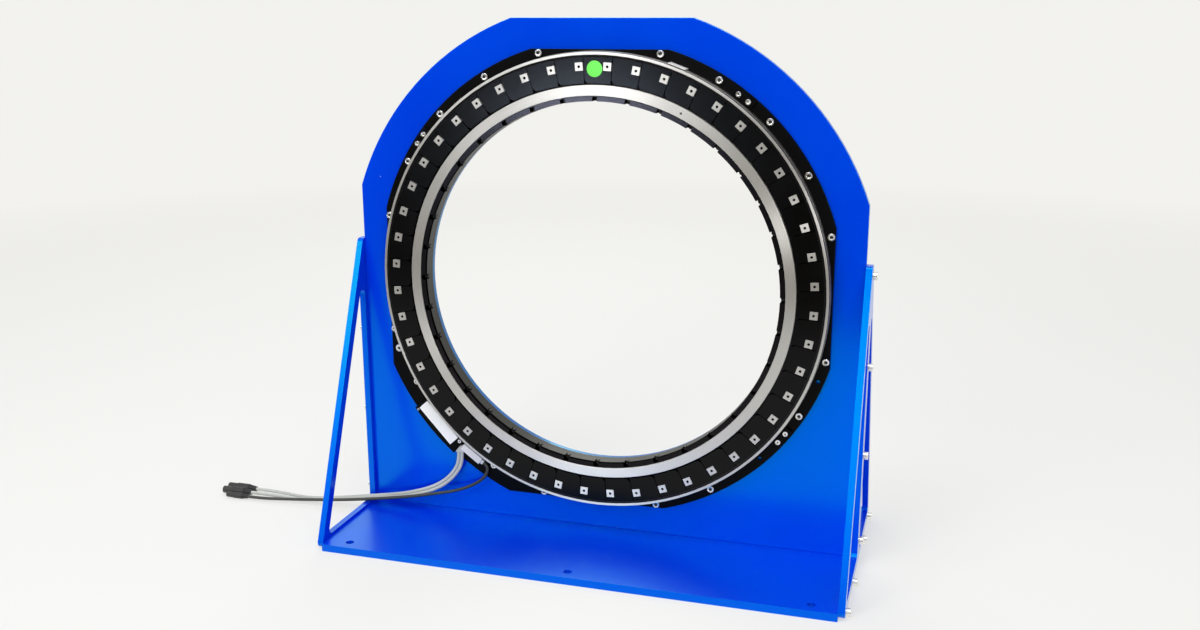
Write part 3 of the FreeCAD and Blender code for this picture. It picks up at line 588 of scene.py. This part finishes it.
motorPlugLook = {"ribs": 5, "ribDepth": 0.0006, "gripTeeth": 0.00035, "count": 48}
sensorPlugLook = {"ribs": 4, "ribDepth": 0.0005, "gripTeeth": 0.0003, "count": 40}
cordLooks = {
    "motor_cable_upper": {
        "diameter": 0.0047, "length": 0.3656, "plug": "motor_plug_upper", "plugLook": motorPlugLook,
        "route": [(-0.2042, -0.0132, 0.1), (-0.2042, -0.0132, 0.086), (-0.211, -0.0138, 0.0716),
                  (-0.2236, -0.0148, 0.0572), (-0.241, -0.0157, 0.0457), (-0.2626, -0.0164, 0.0368),
                  (-0.294, -0.0171, 0.0279), (-0.338, -0.0176, 0.0203), (-0.394, -0.0175, 0.0102),
                  (-0.446, -0.0166, 0.0028), (-0.492, -0.014, 0.006), (-0.532, -0.014, 0.006)]},
    "motor_cable_lower": {
        "diameter": 0.0047, "length": 0.3724, "plug": "motor_plug_lower", "plugLook": motorPlugLook,
        "route": [(-0.1992, -0.0132, 0.1), (-0.1992, -0.0132, 0.085), (-0.2064, -0.0144, 0.0696),
                  (-0.2202, -0.0164, 0.054), (-0.2386, -0.0178, 0.0419), (-0.261, -0.0192, 0.033),
                  (-0.2936, -0.0209, 0.0249), (-0.338, -0.0224, 0.0194), (-0.394, -0.0228, 0.0101),
                  (-0.446, -0.0242, 0.0028), (-0.492, -0.028, 0.006), (-0.532, -0.028, 0.006)]},
    "sensor_cable": {
        "diameter": 0.0044, "length": 0.3989, "plug": "sensor_plug", "plugLook": sensorPlugLook,
        "route": [(-0.16769, -0.0125, 0.087), (-0.16246, -0.0125, 0.08314), (-0.1618, -0.0133, 0.0742),
                  (-0.166, -0.015, 0.0662), (-0.1748, -0.0166, 0.0588), (-0.1886, -0.0186, 0.051),
                  (-0.208, -0.0212, 0.0438), (-0.236, -0.0238, 0.0376), (-0.276, -0.0264, 0.0292),
                  (-0.326, -0.0278, 0.0206), (-0.38, -0.0284, 0.0125), (-0.434, -0.031, 0.0075),
                  (-0.484, -0.038, 0.0055), (-0.51, -0.04, 0.0045), (-0.53, -0.04, 0.0045)]},
}
cordMesh = {"roundSteps": 6, "runSteps": 16}
plugProfile = {
    "entry": 0.58,  # radius where the cable goes in, as a share of the plug's
    "boot": 0.26,  # share of the length
    "swell": (0.64, 0.3),  # radius of the first rib and what the last gains
    "rib": ((0.15, 0), (0.6, 0), (0.7, 1), (0.98, 1)),  # places along one rib, 1 in its groove
    "shoulder": 0.97,  # radius at the end of the boot
    "gripLead": 0.0006,  # metres
    "gripEnd": 0.68,  # share of the length
    "front": ((0.95, 0.69), (0.88, 0.70), (0.88, 0.985), (0.84, 1.0), (0.72, 1.0), (0.70, 0.99),
              (0.70, 0.80)),  # shares of the radius and the length
}


def roundPlug(node, look):
    # ribbed boot, grip sleeve, plain neck and an open front, lying along -X
    low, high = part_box(node)
    length = high.x - low.x
    radius = (high.z - low.z) / 2
    count = look["count"]
    form = plugProfile
    boot = length * form["boot"]
    ribStep = boot / look["ribs"]
    leastSwell, swellGain = form["swell"]
    loops = [circleLoop(radius * form["entry"], 0.0, count)]
    for rib in range(look["ribs"]):
        start = boot * rib / look["ribs"]
        swell = radius * (leastSwell + swellGain * rib / look["ribs"])
        for along, groove in form["rib"]:
            loops.append(circleLoop(swell - groove * look["ribDepth"], start + ribStep * along, count))
    loops += [circleLoop(radius * form["shoulder"], boot, count),
              circleLoop(radius, boot + form["gripLead"], count, look["gripTeeth"]),
              circleLoop(radius, length * form["gripEnd"], count, look["gripTeeth"])]
    loops += [circleLoop(radius * share, length * along, count) for share, along in form["front"]]
    shape = bmesh.new()
    loft(shape, loops)
    entry = Vector((high.x, (low.y + high.y) / 2, (low.z + high.z) / 2))
    standOn(shape, shape.verts[:], entry, Vector((-1, 0, 0)))
    return toPiece(pieceName(node), shape, node)


def layCord(node, route, diameter, plug):
    line = bpy.data.curves.new(pieceName(node), "CURVE")
    line.dimensions = "3D"
    line.bevel_depth = diameter / 2
    line.bevel_resolution = cordMesh["roundSteps"]
    line.resolution_u = cordMesh["runSteps"]
    line.use_fill_caps = True
    run = line.splines.new("NURBS")
    run.points.add(len(route) - 1)
    for point, where in zip(run.points, route):
        point.co = (*where, 1.0)
    run.order_u = 3
    run.use_endpoint_u = True
    cord = bpy.data.objects.new(pieceName(node), line)
    bpy.context.scene.collection.objects.link(cord)
    line.materials.append(finishes[slotOf[node]])
    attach(cord, "stand")
    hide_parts(node)
    return cord


for node, look in cordLooks.items():
    layCord(node, look["route"], look["diameter"], roundPlug(look["plug"], look["plugLook"]))
print("cords laid:", len(cordLooks))


# stand

standLook = {"brokenEdge": 0.0007, "steps": 3, "holeReach": 0.26, "holeWall": 0.9}
gussetScrewLook = {"count": 48, "chamfer": 0.0005, "flats": 0.005, "depth": 0.003, "knurl": 0.00012,
                   "twist": 0.9}


def inPlateHole(face):
    # the wall of the large hole is a darker, greyer blue
    return runsAlongAxis(face, standLook["holeWall"]) and fromAxis(face.center) < standLook["holeReach"]


brokenEdges("base_plate", standLook["brokenEdge"], faceFinishes["basePaint"], standLook["steps"])
brokenEdges("upright_plate", standLook["brokenEdge"], steps=standLook["steps"],
            others=(faceFinishes["holePaint"],), pick=inPlateHole)
for node in ("left_gusset", "right_gusset"):
    brokenEdges(node, standLook["brokenEdge"], steps=standLook["steps"])
socketHeads("left_gusset_screws", gussetScrewLook, (-1, 0, 0))
socketHeads("right_gusset_screws", gussetScrewLook, (1, 0, 0))
print("stand built")


# fixed half of the stage

stageScrewLook = {"count": 48, "chamfer": 0.0007, "flats": 0.0042, "depth": 0.002, "knurl": 0.0001,
                  "twist": 1.3}
ringScrewLook = {"count": 36, "chamfer": 0.0003, "flats": 0.0025, "depth": 0.0016, "knurl": 0.00006,
                 "twist": 0.7}
headScrewLook = {"count": 36, "chamfer": 0.0004, "flats": 0.0018, "depth": 0.0007, "knurl": 0.0, "twist": 0.5}
earthScrewLook = {"count": 48, "chamfer": 0.0012, "flats": 0.004, "depth": 0.0018, "knurl": 0.0, "twist": 0.0}
towardsViewer = (0, -1, 0)
socketHeads("stage_screws", stageScrewLook, towardsViewer)
socketHeads("earth_screw", earthScrewLook, towardsViewer)
socketHeads("inner_ring_screws", ringScrewLook, towardsViewer)
socketHeads("encoder_head_screws", headScrewLook, towardsViewer)
socketHeads("label_box_screws", headScrewLook, towardsViewer)

flangeLook = {"brokenEdge": 0.0004, "blockEdge": 0.0006, "labelEdge": 0.00012}
innerRingLook = {"bore": 0.2375, "boreSlack": 0.0003, "rim": 0.005, "wall": 0.5}
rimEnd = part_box("bearing_inner_ring")[0].y + innerRingLook["rim"]


def partBehindRim(shape):
    # the bore's wall is cut in two where the rim, black as painted shade, gives way to the glossier wall
    bmesh.ops.bisect_plane(shape, geom=shape.verts[:] + shape.edges[:] + shape.faces[:],
                           plane_co=(0, rimEnd, 0), plane_no=(0, 1, 0))


def onBore(face):
    reach = innerRingLook["bore"] + innerRingLook["boreSlack"]
    return runsAlongAxis(face, innerRingLook["wall"]) and fromAxis(face.center) < reach


def pickRingFinish(face):
    # the front, then the bore behind the rim, then the rim and the notches in painted shade
    if not runsAlongAxis(face, innerRingLook["wall"]):
        return 0
    return 1 if onBore(face) and face.center.y > rimEnd else 2


brokenEdges("stator_flange", flangeLook["brokenEdge"], others=(faceFinishes["bore"],), pick=onBore)
brokenEdges("bearing_inner_ring", flangeLook["brokenEdge"], faceFinishes["ringFront"], reshape=partBehindRim,
            others=(faceFinishes["bore"], faceFinishes["seam"]), pick=pickRingFinish)
for node in ("encoder_heads", "label_box", "motor_gland"):
    brokenEdges(node, flangeLook["blockEdge"])
for node in ("cable_block", "sensor_gland"):
    brokenEdges(node, flangeLook["blockEdge"], faceFinishes["whiteBlock"])
brokenEdges("index_plate", flangeLook["labelEdge"], faceFinishes["whiteBlock"])
brokenEdges("label_plate", flangeLook["labelEdge"])
keep("motor_coils")
print("fixed half built")


# turning half of the stage

rotorLook = {"ringEdge": 0.0004, "tableEdge": 0.0002, "tileEdge": 0.0004, "tileSide": 0.95, "padEdge": 0.0004,
             "padHole": 0.0019, "padWall": 0.9, "markerEdge": 0.00006}
padMiddles = [(low + high) / 2 for low, high in islands("mounting_pads")]


def onTileSide(face):
    # the tiles' sides are black without gloss, painted shade for the seams between them
    return runsAlongAxis(face, rotorLook["tileSide"])


def inPadHole(face):
    # the walls of the threaded holes are black, painted shade inside the holes
    if not runsAlongAxis(face, rotorLook["padWall"]):
        return False
    return any(math.hypot(face.center.x - spot.x, face.center.z - spot.z) < rotorLook["padHole"]
               for spot in padMiddles)


brokenEdges("bearing_outer_ring", rotorLook["ringEdge"])
brokenEdges("rotor_table", rotorLook["tableEdge"], faceFinishes["turnedBlack"])
brokenEdges("rim_lip", rotorLook["ringEdge"])
brokenEdges("scale_drum", rotorLook["tableEdge"])
brokenEdges("rotor_tiles", rotorLook["tileEdge"], faceFinishes["tile"],
            others=(faceFinishes["seam"],), pick=onTileSide)
brokenEdges("mounting_pads", rotorLook["padEdge"], finishes["brushed_ring"],
            others=(faceFinishes["seam"],), pick=inPadHole)
brokenEdges("home_marker", rotorLook["markerEdge"])
for node in ("bearing_rollers", "roller_cage", "magnet_ring"):
    keep(node)
print("turning half built")


# floor, light and camera

floorLook = {"radius": 5.0, "sides": 64, "fadeSpan": (1.6, 3.6), "colour": (0.80, 0.80, 0.785),
             "backdrop": (0.975, 0.972, 0.955), "evenShare": 0.58, "glossGain": 1.03}
cardLook = {"left": -2.8, "right": 2.8, "near": -1.15, "far": -3.2, "top": 1.35, "lift": 0.002,
            "colours": {"floorFelt": (0.115, 0.085, 0.048), "wallFelt": (0.145, 0.115, 0.075)}}
# one window, seen in the bright pieces, the tiles and the ring's front, each at its own strength
windowLook = {"place": (-0.66, -2.05, 0.33), "aim": (0, 0, 0.55), "size": 0.22, "tall": 0.13,
              "glossOnly": True}
brightPieces = ("bearing_outer_ring", "rim_lip", "mounting_pads", "home_marker", "stage_screws",
                "earth_screw", "encoder_head_screws", "label_box_screws")
lampLooks = {
    "keyLamp": {"place": (-0.95, -2.5, 2.1), "aim": (0, 0, 0.35), "size": 1.6, "tall": 1.5, "watts": 36.0},
    "ceilingLamp": {"place": (0.0, -0.7, 2.6), "aim": (0, -0.15, 0), "size": 1.8, "tall": 1.2, "watts": 25.0},
    "fillLamp": {"place": (1.485, -2.18, 0.58), "aim": (0, 0, 0.4), "size": 1.0, "tall": 0.2, "watts": 10.5},
    "rearLamp": {"place": (-0.8, 2.2, 2.0), "aim": (0, 0, 0.3), "size": 1.5, "tall": 1.5, "watts": 22.0},
    "windowLamp": dict(windowLook, watts=1.5, colour=(0.80, 0.88, 1.0), shinesOn=brightPieces),
    "glintLamp": dict(windowLook, watts=7.0, colour=(0.68, 0.80, 1.0), shinesOn=("rotor_tiles",)),
    "ringLamp": dict(windowLook, watts=13.0, colour=(0.68, 0.80, 1.0), shinesOn=("bearing_inner_ring",)),
    "sideLamp": {"place": (-1.8, -1.8, 1.2), "aim": (0, 0, 0.5), "size": 1.0, "tall": 0.8, "watts": 5.5,
                 "glossOnly": True, "spares": ("left_gusset",)},
    "gussetLamp": {"place": (-1.53, -2.0, 1.3), "aim": (-0.345, -0.08, 0.17), "size": 1.0, "tall": 1.6,
                   "watts": 4.9, "glossOnly": True, "shinesOn": ("left_gusset",)},
    "legLamp": {"place": (0.13, -2.9, 1.5), "aim": (0.345, -0.1, 0.25), "size": 0.5, "tall": 1.1,
                "watts": 3.8, "glossOnly": True},
}
worldLook = {"colour": (0.89, 0.885, 0.855), "strengths": (0.5, 1.0)}  # shed on the object, then seen
cameraLook = {"place": (0.44739, -1.48085, 0.69687), "right": (0.957252, 0.28925, -0.001823),
              "forward": (-0.280887, 0.928034, -0.244653), "lens": 36.4064, "sensor": 36.0,
              "shift": (-0.00083, 0.00042)}


def studioObject(name, shape):
    mesh = bpy.data.meshes.new(name)
    shape.to_mesh(mesh)
    shape.free()
    made = bpy.data.objects.new(name, mesh)
    bpy.context.scene.collection.objects.link(made)
    return made


def bareMaterial(name):
    finish = bpy.data.materials.new(name)
    finish.use_nodes = True
    finish.node_tree.nodes.clear()
    return finish, finish.node_tree


def mixShaders(tree, factor, first, second):
    node = tree.nodes.new("ShaderNodeMixShader")
    feed(tree, node.inputs[0], factor)
    tree.links.new(first.outputs[0], node.inputs[1])
    tree.links.new(second.outputs[0], node.inputs[2])
    return node


def showShader(tree, shader):
    output = tree.nodes.new("ShaderNodeOutputMaterial")
    tree.links.new(shader.outputs[0], output.inputs["Surface"])


def makeFloor(look):
    # pale paper that keeps the shadow, is even in gloss, and fades out into the backdrop
    shape = bmesh.new()
    bmesh.ops.create_circle(shape, cap_ends=True, segments=look["sides"], radius=look["radius"])
    floor = studioObject("studioFloor", shape)
    finish, tree = bareMaterial("studioPaper")
    paper = tree.nodes.new("ShaderNodeBsdfDiffuse")
    paper.inputs["Color"].default_value = opaque(look["colour"])
    rays = tree.nodes.new("ShaderNodeLightPath")
    inGloss = rays.outputs["Is Glossy Ray"]
    even = tree.nodes.new("ShaderNodeEmission")
    even.inputs["Color"].default_value = opaque(look["backdrop"])
    feed(tree, even.inputs["Strength"], spread(tree, inGloss, unitSpan, (1.0, look["glossGain"])))
    seen = maths(tree, "ADD", rays.outputs["Is Camera Ray"], rays.outputs["Is Transmission Ray"], True)
    seen = maths(tree, "MULTIPLY", seen, look["evenShare"])
    mixed = mixShaders(tree, maths(tree, "ADD", seen, inGloss, True), paper, even)
    away = vectorMaths(tree, "LENGTH", ownPlace(tree), (0, 0, 0), "Value")
    clear = tree.nodes.new("ShaderNodeBsdfTransparent")
    showShader(tree, mixShaders(tree, spread(tree, away, look["fadeSpan"], unitSpan), mixed, clear))
    floor.data.materials.append(finish)


def makeCard(look):
    # dark cards out of view, one on the floor and a paler one upright in front, that only gloss picks up
    shape = bmesh.new()
    rows = []
    for y, z in ((look["near"], look["lift"]), (look["far"], look["lift"]), (look["far"], look["top"])):
        rows.append([shape.verts.new((x, y, z)) for x in (look["left"], look["right"])])
    for row, following in zip(rows, rows[1:]):
        shape.faces.new((row[0], row[1], following[1], following[0]))
    card = studioObject("darkCard", shape)
    for number, (name, colour) in enumerate(look["colours"].items()):
        finish, tree = bareMaterial(name)
        felt = tree.nodes.new("ShaderNodeEmission")
        felt.inputs["Color"].default_value = opaque(colour)
        showShader(tree, felt)
        card.data.materials.append(finish)
        card.data.polygons[number].material_index = number
    card.visible_camera = False
    card.visible_diffuse = False
    card.visible_shadow = False


def linkLamp(lamp, look):
    # a lamp that only some pieces pick up, or that all but some do
    chosen = look.get("shinesOn") or look.get("spares")
    if not chosen:
        return
    pieces = bpy.data.collections.new(lamp.name + "Pieces")
    for node in chosen:
        pieces.objects.link(bpy.data.objects[pieceName(node)])
    for row in pieces.collection_objects:
        row.light_linking.link_state = "EXCLUDE" if "spares" in look else "INCLUDE"
    lamp.light_linking.receiver_collection = pieces


def makeLamp(name, look):
    light = bpy.data.lights.new(name, "AREA")
    light.shape = "RECTANGLE"
    light.size = look["size"]
    light.size_y = look["tall"]
    light.energy = look["watts"]
    light.color = look.get("colour", (1, 1, 1))
    lamp = bpy.data.objects.new(name, light)
    lamp.location = look["place"]
    towards = Vector(look["aim"]) - Vector(look["place"])
    lamp.rotation_euler = towards.to_track_quat("-Z", "Y").to_euler()
    lamp.visible_camera = False
    lamp.visible_diffuse = not look.get("glossOnly", False)
    bpy.context.scene.collection.objects.link(lamp)
    linkLamp(lamp, look)


def makeWorld(look):
    # full strength where it is seen, less where it lights the object
    world = bpy.data.worlds.new("studio")
    world.use_nodes = True
    tree = world.node_tree
    shown = tree.nodes["Background"]
    shown.inputs["Color"].default_value = opaque(look["colour"])
    rays = tree.nodes.new("ShaderNodeLightPath")
    seen = maths(tree, "ADD", rays.outputs["Is Camera Ray"], rays.outputs["Is Glossy Ray"], True)
    seen = maths(tree, "ADD", seen, rays.outputs["Is Transmission Ray"], True)
    feed(tree, shown.inputs["Strength"], spread(tree, seen, unitSpan, look["strengths"]))
    bpy.context.scene.world = world


def makeCamera(look):
    camera = bpy.data.objects.new("photoCamera", bpy.data.cameras.new("photoCamera"))
    camera.data.lens = look["lens"]
    camera.data.sensor_width = look["sensor"]
    camera.data.sensor_fit = "HORIZONTAL"
    camera.data.shift_x, camera.data.shift_y = look["shift"]
    back = -Vector(look["forward"]).normalized()
    right = Vector(look["right"]).normalized()
    right = (right - back * right.dot(back)).normalized()
    above = back.cross(right)
    turned = Matrix((right, above, back)).transposed().to_4x4()
    camera.matrix_world = Matrix.Translation(look["place"]) @ turned
    bpy.context.scene.collection.objects.link(camera)
    bpy.context.scene.camera = camera


makeFloor(floorLook)
makeCard(cardLook)
for name, look in lampLooks.items():
    makeLamp(name, look)
makeWorld(worldLook)
makeCamera(cameraLook)
bpy.context.scene.view_settings.view_transform = "Standard"
print("studio set:", len(lampLooks), "lamps")
